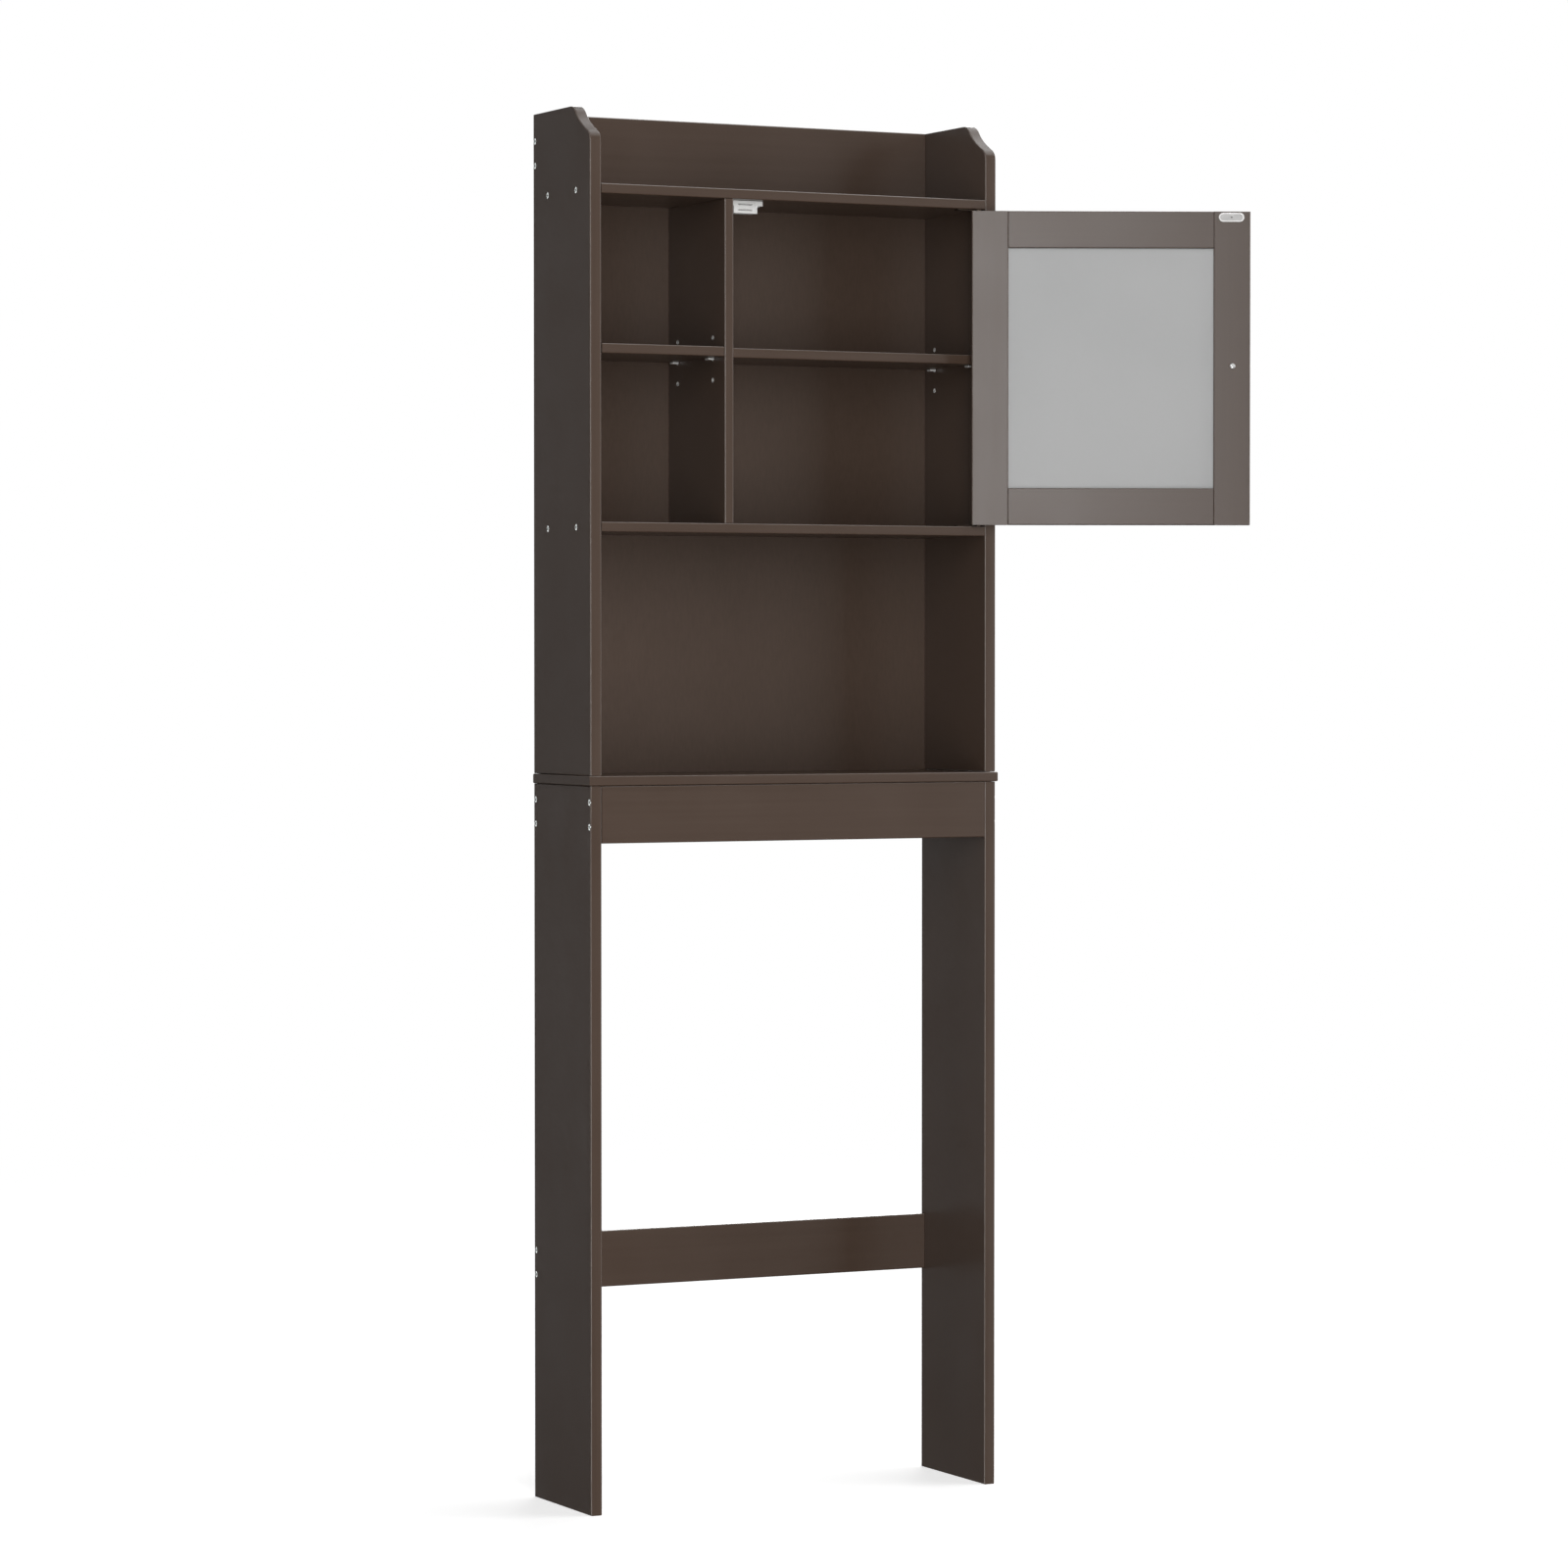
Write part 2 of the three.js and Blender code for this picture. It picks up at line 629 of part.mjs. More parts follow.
// A hinge leaf in plan, about the hinge axis: a flat plate with a round knuckle at the pin.
function leafOutline() {
  return new THREE.Shape()
    .moveTo(-LEAF_LENGTH, LEAF_FRONT)
    .lineTo(-KNUCKLE_R, LEAF_FRONT)
    .lineTo(-KNUCKLE_R, 0)
    .absarc(0, 0, KNUCKLE_R, Math.PI, 2 * Math.PI)
    .lineTo(KNUCKLE_R, LEAF_BACK)
    .lineTo(-LEAF_LENGTH, LEAF_BACK);
}

function upRod(radius, x, y, z0, z1) {
  return turned([[0, 0], [0, radius], [z1 - z0, radius], [z1 - z0, 0]])
    .rotateY(-Math.PI / 2)
    .translate(x, y, z0);
}

// Both leaves lie in the same plan when the door is shut. The door's leaf carries the pin.
function addHingeLeaves(word, doorLeafZ, frameLeafZ, pinZ0, pinZ1) {
  const plate = () => prism(leafOutline(), LEAF_T, CURVE_STEPS);
  const screwHoles = (z) =>
    LEAF_SCREW_U.map((u) => upRod(LEAF_SCREW_R, u, LEAF_SCREW_V, z - 1, z + LEAF_T + 1));
  const pinHole = upRod(HINGE_PIN_R + FIT, 0, 0, frameLeafZ - 1, frameLeafZ + LEAF_T + 1);
  const frameLeaf = carve(plate().translate(0, 0, frameLeafZ), [
    pinHole,
    ...screwHoles(frameLeafZ),
  ]).translate(AXIS_X, AXIS_Y, 0);
  add(rack, `${word}_frame_hinge_leaf`, frameLeaf, "bronze");

  const doorPlate = carve(plate().translate(0, 0, doorLeafZ), screwHoles(doorLeafZ));
  const doorLeaf = join(doorPlate, [upRod(HINGE_PIN_R, 0, 0, pinZ0, pinZ1)]);
  add(door, `${word}_door_hinge_leaf`, doorLeaf, "bronze");
}

function addHinges() {
  const upperFrameZ = TOP_SHELF_BOTTOM - FIT - LEAF_T;
  const upperPinTop = TOP_SHELF_BOTTOM - FIT;
  addHingeLeaves("upper", DOOR_TOP - LEAF_T, upperFrameZ, DOOR_TOP - LEAF_T / 2, upperPinTop);
  const lowerFrameZ = CABINET_FLOOR + FIT;
  const lowerPinTop = DOOR_BOTTOM + LEAF_T / 2;
  addHingeLeaves("lower", DOOR_BOTTOM, lowerFrameZ, CABINET_FLOOR + FIT, lowerPinTop);
}

// The shallow recess that a door leaf is let into, between two heights.
function leafMortise(z0, z1) {
  const back = LEAF_BACK + FIT;
  return [
    block(-LEAF_LENGTH - FIT, KNUCKLE_R + FIT, LEAF_FRONT - FIT, back, z0, z1),
    block(-KNUCKLE_R - FIT, KNUCKLE_R + FIT, -KNUCKLE_R - 1, back, z0, z1),
  ];
}

// ---------------------------------------------------------------- door

function addDoor() {
  const paneTop = DOOR_TOP - DOOR_FRAME_WIDTH + PANE_INSET;
  const paneBottom = DOOR_BOTTOM + DOOR_FRAME_WIDTH - PANE_INSET;
  const hingeStileX = DOOR_HINGE_X - DOOR_FRAME_WIDTH;
  const knobStileX = DOOR_FREE_X + DOOR_FRAME_WIDTH;
  const paneLeft = knobStileX - PANE_INSET;
  const paneRight = hingeStileX + PANE_INSET;
  const groove = block(
    paneLeft - FIT,
    paneRight + FIT,
    DOOR_MID_Y - PANE_T / 2 - FIT,
    DOOR_MID_Y + PANE_T / 2 + FIT,
    paneBottom - FIT,
    paneTop + FIT,
  );
  const mortises = [
    ...leafMortise(DOOR_TOP - LEAF_T - FIT, DOOR_TOP + 1),
    ...leafMortise(DOOR_BOTTOM - 1, DOOR_BOTTOM + LEAF_T + FIT),
  ];
  const through = SIDE_T + 2;
  const knobHole = turned(
    [[0, 0], [0, KNOB_BORE_R], [through, KNOB_BORE_R], [through, 0]],
    HOLE_STEPS,
  )
    .rotateZ(Math.PI / 2)
    .translate(KNOB_X, DOOR_FRONT_Y - 1, KNOB_Z);

  const stile = (x0, x1) => upright(x0, x1, DOOR_FRONT_Y, DOOR_BACK_Y, DOOR_BOTTOM, DOOR_TOP);
  const hingeStile = carve(stile(hingeStileX, DOOR_HINGE_X), [groove, ...mortises]);
  add(door, "door_hinge_stile", hingeStile, "laminate");
  add(door, "door_knob_stile", carve(stile(DOOR_FREE_X, knobStileX), [groove, knobHole]), "laminate");

  const rail = (z0, z1) =>
    crossBoard(knobStileX + FIT, hingeStileX - FIT, DOOR_FRONT_Y, DOOR_BACK_Y, z0, z1);
  const topRail = rail(DOOR_TOP - DOOR_FRAME_WIDTH, DOOR_TOP);
  const bottomRail = rail(DOOR_BOTTOM, DOOR_BOTTOM + DOOR_FRAME_WIDTH);
  add(door, "door_top_rail", carve(topRail, [groove]), "laminate");
  add(door, "door_bottom_rail", carve(bottomRail, [groove]), "laminate");

  const pane = block(
    paneLeft,
    paneRight,
    DOOR_MID_Y - PANE_T / 2,
    DOOR_MID_Y + PANE_T / 2,
    paneBottom,
    paneTop,
  );
  add(door, "door_pane", pane, "frosted");
}

// A round pull on the outside of the door, bored for the screw that comes through the stile.
function addKnob() {
  const bore = [[KNOB_BORE_DEPTH, 0], [KNOB_BORE_DEPTH, KNOB_BORE_R], [0, KNOB_BORE_R]];
  const knob = turned([...bore, ...KNOB_FOOT, ...KNOB_WAIST, ...KNOB_HEAD], KNOB_STEPS);
  knob.rotateZ(-Math.PI / 2).translate(KNOB_X, DOOR_FRONT_Y - FIT, KNOB_Z);
  add(door, "door_knob", knob, "nickel");
}

// The oblong plate on the inside of the door that the magnet pulls on.
function addStrikePlate() {
  const [halfL, halfH] = [STRIKE_LENGTH / 2, STRIKE_HEIGHT / 2];
  const outline = roundedRectangle(-halfL, halfL, -halfH, halfH, halfH);
  outline.holes.push(new THREE.Path().absarc(0, 0, LEAF_SCREW_R, 0, 2 * Math.PI, true));
  const plate = prism(outline, STRIKE_T, CURVE_STEPS)
    .applyMatrix4(DRAWN_IN_XZ)
    .translate(STRIKE_X, DOOR_BACK_Y + FIT + STRIKE_T, STRIKE_Z);
  add(door, "strike_plate", plate, "nickel");
}

addUprights();
addBoards();
addScrews();
addPins();
addCatch();
addHinges();
addDoor();
addKnob();
addStrikePlate();

export default rack;
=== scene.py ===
# Looks, light and camera for the over-the-toilet storage rack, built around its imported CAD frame.
# Metres, +X to the right, +Y towards the wall, +Z up, and the floor at z = 0.
import json
import math

import bmesh
import bpy
from mathutils import Matrix, Vector


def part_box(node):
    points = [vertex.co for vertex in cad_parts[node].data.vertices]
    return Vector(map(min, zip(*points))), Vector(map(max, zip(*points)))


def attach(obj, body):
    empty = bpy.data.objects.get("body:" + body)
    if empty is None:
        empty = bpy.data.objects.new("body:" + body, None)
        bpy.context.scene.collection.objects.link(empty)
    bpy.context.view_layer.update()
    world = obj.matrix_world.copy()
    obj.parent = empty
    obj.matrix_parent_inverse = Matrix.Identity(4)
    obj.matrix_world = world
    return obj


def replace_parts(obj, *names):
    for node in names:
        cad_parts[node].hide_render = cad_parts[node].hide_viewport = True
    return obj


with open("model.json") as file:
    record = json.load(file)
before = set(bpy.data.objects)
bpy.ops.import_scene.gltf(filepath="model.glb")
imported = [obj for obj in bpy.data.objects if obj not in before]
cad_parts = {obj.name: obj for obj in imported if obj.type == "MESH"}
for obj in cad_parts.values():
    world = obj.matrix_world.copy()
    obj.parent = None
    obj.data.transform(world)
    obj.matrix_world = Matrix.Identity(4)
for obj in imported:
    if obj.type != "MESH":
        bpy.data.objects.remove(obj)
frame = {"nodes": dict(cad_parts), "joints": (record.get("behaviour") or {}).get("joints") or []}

scene = bpy.context.scene
nodes = frame["nodes"]
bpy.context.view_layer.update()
MM = 0.001

# ---------------------------------------------------------------- driving dimensions, in mm

SOFT_EDGE = 0.25  # round on the edges of the sheet metal and the plastic
WELD_GAP = 0.002  # corners closer than this are one corner
WORN_EDGE = 0.3  # how far wear reaches from an edge of plated metal
SMOOTH_BELOW_DEG = 40  # an edge flatter than this is shaded as a curve

SCREW_STEPS = 48
SCREW_HEAD_R, SCREW_SHANK_R, SCREW_LENGTH = 4.0, 2.3, 41.0
SCREW_SOCKET_R, SCREW_SOCKET_DEPTH = 1.9, 2.0
SCREW_LIP = 0.15  # the round on the head's edges
SCREW_RIM_END, SCREW_CONE_END = 0.6, 2.6  # depths of the head's straight rim and of its cone
SCREW_TIP_R, SCREW_TIP_LENGTH = 0.4, 3.0

PEG_R, PEG_LENGTH, PEG_CHAMFER = 2.5, 5.2, 0.5
PEG_NECK, PEG_NECK_TAPER = 1.2, 0.6  # the peg's short cone inside the pad
PAD_REACH, PAD_WIDTH, PAD_T = 8.5, 10.0, 2.6
PAD_TOP = 1.2  # its flat face, above the peg's middle
PAD_GAP, PAD_ROUND = 0.3, 0.8  # off the wall, and the round on its edges
HOLE_PITCH = 26.0  # between the pin holes of a column
SLEEVE_R, SLEEVE_BORE_R, SLEEVE_DEPTH = 2.6, 1.7, 5.0
SLEEVE_LIP_R, SLEEVE_LIP_T = 2.95, 0.35
SLEEVE_LIFT = 0.02  # the lip's underside, off the wall

# Each cross-recess screw: its head's radius and height, and its length.
KNOB_SCREW = (3.6, 2.2, 14)
CATCH_SCREW = (2.4, 1.3, 10)
LEAF_HEAD_HEIGHT = 0.25
LEAF_SCREW = (1.6, LEAF_HEAD_HEIGHT, 3.0)
STRIKE_SCREW = (1.0, 0.3, 8)
KNOB_SCREW_TURN = 0.5  # radians, how far its cross is turned
LEAF_SCREW_U = (-11.0, -22.0)  # along a hinge leaf from its pin
LEAF_SCREW_V = 5.7  # and across it
LEAF_T = 1.2  # the plate of a hinge leaf
EAR_WIDTH, EAR_T = 7.5, 6.0  # each side of the catch's body

POLE_T = 1.0  # the steel plates above and below the catch's magnet
POLE_REACH = 2.2  # how far they stand out in front of it
STRIKE_RIM, STRIKE_DISH = 1.3, 0.35  # the rim's width and the dish's depth

# ---------------------------------------------------------------- values of the light and camera

WORLD_LIGHT = 0.057  # the even light from all round
BACKDROP = 1.0  # how bright the backdrop is, and the floor far from the object
# The floor's glow is painted light: FLOOR_GLOW near the object, rising to BACKDROP further out.
FLOOR_GLOW = 0.60  # the floor's own brightness near the object
FLOOR_NEAR, FLOOR_FAR = 0.8, 4.5  # metres, where the floor starts and ends turning white

LAMP_AIM = (0.05, 0, 0.9)  # metres, the point that every lamp faces
# Each lamp: its azimuth and elevation in degrees, its distance and size in metres, and its watts.
# Azimuth 0 is in front, at -Y, and positive is right.
LAMPS = {
    "key": (-20, 3, 3.0, (1.0, 5.0), 81),
    "right": (45, 5, 9.0, (3.0, 7.0), 97),
    "far_right": (70, 5, 9.0, (3.0, 7.0), 263),
    "left": (-90, 5, 9.0, (3.0, 7.0), 77),
    "rear_left_strip": (-153, 5, 9.0, (0.6, 7.0), 15),
    "rear_right": (148, 15, 9.0, (3.0, 5.0), 240),
    "top": (95, 58, 4.5, (5.0, 3.0), 100),
}

CAMERA_PLACE = (-2.9195, -5.8443, 1.0402)  # metres
CAMERA_PITCH_DEG, CAMERA_YAW_DEG = -1.363, 26.737  # up, and to the right of +Y
CAMERA_LENS, CAMERA_SENSOR = 120.15, 36  # mm

# ---------------------------------------------------------------- places in the frame

hinge = frame["joints"][0]
DOOR_OPEN = -math.radians(hinge["range_deg"][0])
DOOR_FRAME = Matrix.Translation((*hinge["pos_m"][:2], 0)) @ Matrix.Rotation(DOOR_OPEN, 4, "Z")


def middle(node):
    low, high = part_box(node)
    return (low + high) / 2


def door_box(node):
    """A door node's lowest and highest corner in the door's own frame, about the hinge axis."""
    to_door = DOOR_FRAME.inverted()
    corners = [to_door @ vertex.co for vertex in nodes[node].data.vertices]
    low = Vector(min(corner[axis] for corner in corners) for axis in range(3))
    high = Vector(max(corner[axis] for corner in corners) for axis in range(3))
    return low, high


def facing(direction, place):
    """The matrix that turns a piece's own +Z to a direction, and puts its origin at a place."""
    turn = Vector(direction).to_track_quat("Z", "Y").to_matrix().to_4x4()
    return Matrix.Translation(place) @ turn


# ---------------------------------------------------------------- node trees


def add_node(tree, kind, settings=None, **inputs):
    """A shader node with its settings, and its inputs given by name: a value or a socket."""
    node = tree.nodes.new(kind)
    for key, value in (settings or {}).items():
        setattr(node, key, value)
    for key, value in inputs.items():
        socket = node.inputs[int(key[2:])] if key.startswith("at") else node.inputs[key]
        if isinstance(value, bpy.types.NodeSocket):
            tree.links.new(value, socket)
        else:
            socket.default_value = value
    return node


def noise(tree, vector, scale, detail=2.0, roughness=0.5):
    made = add_node(tree, "ShaderNodeTexNoise", Vector=vector, Scale=scale, Detail=detail)
    made.inputs["Roughness"].default_value = roughness
    return made.outputs["Fac"]


def stretched(tree, scale, turn=0.0):
    """Object coordinates turned about Z and then scaled, so that a pattern runs along an axis."""
    place = add_node(tree, "ShaderNodeTexCoord").outputs["Object"]
    turned_place = add_node(
        tree, "ShaderNodeMapping", Vector=place, Rotation=(0, 0, -turn)
    ).outputs["Vector"]
    return add_node(
        tree, "ShaderNodeMapping", Vector=turned_place, Scale=scale
    ).outputs["Vector"]


def spread(tree, fac, low, high):
    """A noise value, mostly between 0.3 and 0.7, spread from low to high."""
    made = add_node(tree, "ShaderNodeMapRange", Value=fac)
    made.inputs["From Min"].default_value = 0.3
    made.inputs["From Max"].default_value = 0.7
    made.inputs["To Min"].default_value = low
    made.inputs["To Max"].default_value = high
    return made.outputs["Result"]


def mixed(tree, fac, first, second, blend="MIX"):
    made = add_node(tree, "ShaderNodeMix", {"data_type": "RGBA", "blend_type": blend})
    for index, value in ((0, fac), (6, first), (7, second)):
        if isinstance(value, bpy.types.NodeSocket):
            tree.links.new(value, made.inputs[index])
        else:
            made.inputs[index].default_value = value
    return made.outputs[2]


def maths(tree, operation, first, second):
    made = add_node(tree, "ShaderNodeMath", {"operation": operation}, at0=first, at1=second)
    return made.outputs[0]


def bump(tree, height, strength, distance):
    made = add_node(tree, "ShaderNodeBump", Height=height, Strength=strength)
    made.inputs["Distance"].default_value = distance
    return made.outputs["Normal"]


def edge_mask(tree, radius):
    """0 on a flat face and rising to 1 within a radius of a convex or concave edge."""
    soft = add_node(tree, "ShaderNodeBevel", {"samples": 4}, Radius=radius).outputs["Normal"]
    hard = add_node(tree, "ShaderNodeNewGeometry").outputs["Normal"]
    dot = add_node(tree, "ShaderNodeVectorMath", {"operation": "DOT_PRODUCT"}, at0=soft, at1=hard)
    made = add_node(tree, "ShaderNodeMapRange", Value=dot.outputs["Value"])
    made.inputs["From Min"].default_value = 1.0
    made.inputs["From Max"].default_value = 0.75
    return made.outputs["Result"]


def arris_highlight_mask(tree, axis, turn):
    """0 on the flats, and up to 1 on the arrises that face up, or to the side (less at +X): where
    the laminate gets its painted highlight.
    """
    normal = add_node(tree, "ShaderNodeTexCoord").outputs["Normal"]
    turned_normal = add_node(
        tree, "ShaderNodeMapping", {"vector_type": "VECTOR"}, Vector=normal, Rotation=(0, 0, -turn)
    ).outputs["Vector"]
    along = add_node(tree, "ShaderNodeSeparateXYZ", Vector=turned_normal).outputs[axis]
    low_share, high_share = (1.0, 0.35) if axis == "X" else (0.0, 1.0)
    to_low = maths(tree, "MULTIPLY", along, -low_share)
    to_high = maths(tree, "MULTIPLY", along, high_share)
    facing_out = maths(tree, "MAXIMUM", to_low, to_high)
    square = maths(tree, "MULTIPLY", facing_out, facing_out)
    rest = maths(tree, "SUBTRACT", 1.0, square)
    return maths(tree, "MULTIPLY", maths(tree, "MULTIPLY", square, rest), 4.0)


def new_material(name, **inputs):
    """A Principled material with its uniform values set on the shader's own sockets."""
    material = bpy.data.materials.new(name)
    material.use_nodes = True
    shader = material.node_tree.nodes["Principled BSDF"]
    for key, value in inputs.items():
        shader.inputs[key.replace("_", " ")].default_value = value
    return material, material.node_tree, shader


# ---------------------------------------------------------------- materials

LAMINATE_DARK = (0.073, 0.0452, 0.0312, 1)
LAMINATE_LIGHT = (0.086, 0.0540, 0.0375, 1)
# The lightest laminate colour is a painted highlight for the arrises, as if lit from above and the
# left.
LAMINATE_ARRIS_HIGHLIGHT = (0.22, 0.185, 0.165, 1)
HARDBOARD_DARK = (0.067, 0.0425, 0.0298, 1)
HARDBOARD_LIGHT = (0.083, 0.0530, 0.0374, 1)
FROST_DARK = (0.50, 0.505, 0.505, 1)
FROST_LIGHT = (0.56, 0.56, 0.56, 1)
PLASTIC_DARK = (0.78, 0.775, 0.75, 1)
PLASTIC_LIGHT = (0.82, 0.82, 0.81, 1)
FERRITE_DARK = (0.045, 0.045, 0.05, 1)
FERRITE_LIGHT = (0.10, 0.10, 0.105, 1)
FLOOR_DARK = (0.86, 0.86, 0.86, 1)
FLOOR_LIGHT = (0.9, 0.9, 0.9, 1)


def laminate(name, grain, turn=0.0):
    """Satin brown foil on board: a faint grain along one axis, fine pores and a painted highlight
    on its arrises.
    """
    material, tree, shader = new_material(name, IOR=1.58)
    along, across = 3.0, 170.0
    scale = tuple(along if axis == grain else across for axis in "XYZ")
    lines = noise(tree, stretched(tree, scale, turn), 1.0, 4.0, 0.6)
    plain = stretched(tree, (1, 1, 1), turn)
    clouds = noise(tree, plain, 9.0, 3.0)
    pores = noise(tree, plain, 1500.0, 2.0)

    tone = maths(tree, "ADD", spread(tree, lines, 0.0, 0.45), spread(tree, clouds, 0.0, 0.35))
    tone = maths(tree, "ADD", tone, spread(tree, pores, -0.1, 0.3))
    colour = mixed(tree, tone, LAMINATE_DARK, LAMINATE_LIGHT)
    # Arrises that face up or to the side are lightened in patches: a painted highlight where light
    # would catch them.
    patches = spread(tree, noise(tree, plain, 60.0, 4.0), 0.6, 1.0)
    highlight_axis = "X" if grain == "Z" else "Z"
    painted_highlight = maths(tree, "MULTIPLY", arris_highlight_mask(tree, highlight_axis, turn), patches)
    colour = mixed(tree, painted_highlight, colour, LAMINATE_ARRIS_HIGHLIGHT)
    tree.links.new(colour, shader.inputs["Base Color"])

    sheen = maths(tree, "ADD", spread(tree, clouds, 0.30, 0.34), spread(tree, lines, 0.0, 0.03))
    tree.links.new(sheen, shader.inputs["Roughness"])
    height = maths(tree, "ADD", maths(tree, "MULTIPLY", lines, 0.5), pores)
    tree.links.new(bump(tree, height, 0.18, 0.00012), shader.inputs["Normal"])
    return material


def hardboard(name):
    """Thin printed board: smoother than the laminate, with faint fibres both ways."""
    material, tree, shader = new_material(name, IOR=1.48)
    plain = stretched(tree, (1, 1, 1))
    fibres = noise(tree, stretched(tree, (60, 60, 14)), 6.0, 5.0, 0.65)
    clouds = noise(tree, plain, 6.0, 2.0)
    tone = maths(tree, "ADD", spread(tree, fibres, 0.0, 0.6), spread(tree, clouds, 0.0, 0.4))
    colour = mixed(tree, tone, HARDBOARD_DARK, HARDBOARD_LIGHT)
    tree.links.new(colour, shader.inputs["Base Color"])
    tree.links.new(spread(tree, fibres, 0.36, 0.44), shader.inputs["Roughness"])
    tree.links.new(bump(tree, fibres, 0.15, 0.0002), shader.inputs["Normal"])
    return material


def frosted(name):
    """Frosted acrylic: matt, grey-white and a little translucent, with a fine etched grain."""
    material, tree, shader = new_material(name, IOR=1.49, Transmission_Weight=0.3)
    plain = stretched(tree, (1, 1, 1))
    grain = noise(tree, plain, 1800.0, 3.0, 0.6)
    clouds = noise(tree, plain, 5.0, 2.0)
    tone = maths(tree, "ADD", spread(tree, grain, 0.0, 0.5), spread(tree, clouds, 0.0, 0.5))
    colour = mixed(tree, tone, FROST_DARK, FROST_LIGHT)
    tree.links.new(colour, shader.inputs["Base Color"])
    tree.links.new(spread(tree, grain, 0.55, 0.7), shader.inputs["Roughness"])
    tree.links.new(bump(tree, grain, 0.35, 0.00015), shader.inputs["Normal"])
    return material


def plated(name, colour, rough, streak_scale, metallic=1.0):
    """Plated metal: fine drawn streaks, a cloudy sheen and a brighter worn edge."""
    material, tree, shader = new_material(name, Metallic=metallic)
    plain = stretched(tree, (1, 1, 1))
    streaks = noise(tree, stretched(tree, streak_scale), 1.0, 3.0, 0.6)
    clouds = noise(tree, plain, 120.0, 2.0)
    shade = tuple(channel * 0.82 for channel in colour) + (1,)
    tone = mixed(tree, spread(tree, clouds, 0.2, 1.0), shade, colour + (1,))
    worn = tuple(min(1.0, channel * 1.12) for channel in colour) + (1,)
    tone = mixed(tree, edge_mask(tree, WORN_EDGE * MM), tone, worn)
    tree.links.new(tone, shader.inputs["Base Color"])
    tree.links.new(spread(tree, streaks, rough - 0.06, rough + 0.08), shader.inputs["Roughness"])
    tree.links.new(bump(tree, streaks, 0.12, 0.00004), shader.inputs["Normal"])
    return material


def moulded_plastic(name):
    """White moulded plastic: a fine spark-eroded grain and a faint yellowing in its clouds."""
    material, tree, shader = new_material(name, IOR=1.5, Subsurface_Weight=0.08)
    shader.inputs["Subsurface Radius"].default_value = (0.002, 0.002, 0.002)
    plain = stretched(tree, (1, 1, 1))
    grain = noise(tree, plain, 2400.0, 2.0)
    clouds = noise(tree, plain, 150.0, 2.0)
    colour = mixed(tree, spread(tree, clouds, 0.0, 1.0), PLASTIC_DARK, PLASTIC_LIGHT)
    tree.links.new(colour, shader.inputs["Base Color"])
    tree.links.new(spread(tree, grain, 0.34, 0.48), shader.inputs["Roughness"])
    tree.links.new(bump(tree, grain, 0.2, 0.00006), shader.inputs["Normal"])
    return material


def ferrite(name):
    """Pressed and sintered magnet: dark grey with a coarse sparkle of grains."""
    material, tree, shader = new_material(name, Metallic=0.25, IOR=1.6)
    plain = stretched(tree, (1, 1, 1))
    grains = noise(tree, plain, 2600.0, 4.0, 0.7)
    colour = mixed(tree, spread(tree, grains, 0.0, 1.0), FERRITE_DARK, FERRITE_LIGHT)
    tree.links.new(colour, shader.inputs["Base Color"])
    tree.links.new(spread(tree, grains, 0.5, 0.72), shader.inputs["Roughness"])
    tree.links.new(bump(tree, grains, 0.4, 0.00008), shader.inputs["Normal"])
    return material


def pale_floor(name):
    """Pale and a little shaded round the object, and as white as the backdrop further out; its glow
    is painted light.
    """
    material, tree, shader = new_material(name, Roughness=0.75)
    place = stretched(tree, (1, 1, 1))
    distance = add_node(tree, "ShaderNodeVectorMath", {"operation": "LENGTH"}, at0=place)
    outward = add_node(
        tree, "ShaderNodeMapRange", {"interpolation_type": "SMOOTHSTEP"},
        Value=distance.outputs["Value"],
    )
    outward.inputs["From Min"].default_value = FLOOR_NEAR
    outward.inputs["From Max"].default_value = FLOOR_FAR
    far = outward.outputs["Result"]
    clouds = spread(tree, noise(tree, place, 1.5, 3.0), 0.0, 1.0)
    near_colour = mixed(tree, clouds, FLOOR_DARK, FLOOR_LIGHT)
    colour = mixed(tree, far, near_colour, (0, 0, 0, 1))
    tree.links.new(colour, shader.inputs["Base Color"])
    glow = mixed(tree, far, (*[FLOOR_GLOW] * 3, 1), (*[BACKDROP] * 3, 1))
    tree.links.new(glow, shader.inputs["Emission Color"])
    shader.inputs["Emission Strength"].default_value = 1.0
    shader.inputs["Specular IOR Level"].default_value = 0.0
    return material


upright_laminate = laminate("brown_laminate_upright", "Z")
cross_laminate = laminate("brown_laminate_cross", "X")
door_stile_laminate = laminate("brown_laminate_door_stile", "Z", DOOR_OPEN)
door_rail_laminate = laminate("brown_laminate_door_rail", "X", DOOR_OPEN)
back_hardboard = hardboard("hardboard_back")
pane_frosted = frosted("frosted_pane")
zinc = plated("zinc_screws", (0.92, 0.96, 0.94), 0.08, (500, 500, 500), 0.75)
pin_nickel = plated("nickel_pins", (0.88, 0.88, 0.86), 0.30, (60, 900, 900), 0.3)
# Dark bronze for the hinge leaves and their screws: partly a finish, and partly painted shade, so
# that the leaves between the door and the top shelf read as the shade there.
bronze_and_painted_shade = plated("bronze_hinges", (0.10, 0.075, 0.058), 0.42, (60, 900, 900))
fitting_nickel = plated("nickel_fittings", (0.80, 0.79, 0.77), 0.24, (900, 900, 60))
satin_nickel = plated("satin_nickel", (0.84, 0.83, 0.82), 0.50, (900, 900, 60))
# A darker copy of the satin nickel: painted shade for the strike plate's dish, which faces the same
# way as its rim.
dish_nickel_painted_shade = plated("dish_nickel_painted_shade", (0.45, 0.445, 0.44), 0.50, (900, 900, 60))
bright_steel = plated("bright_steel", (0.94, 0.94, 0.93), 0.45, (500, 500, 500), 0.8)
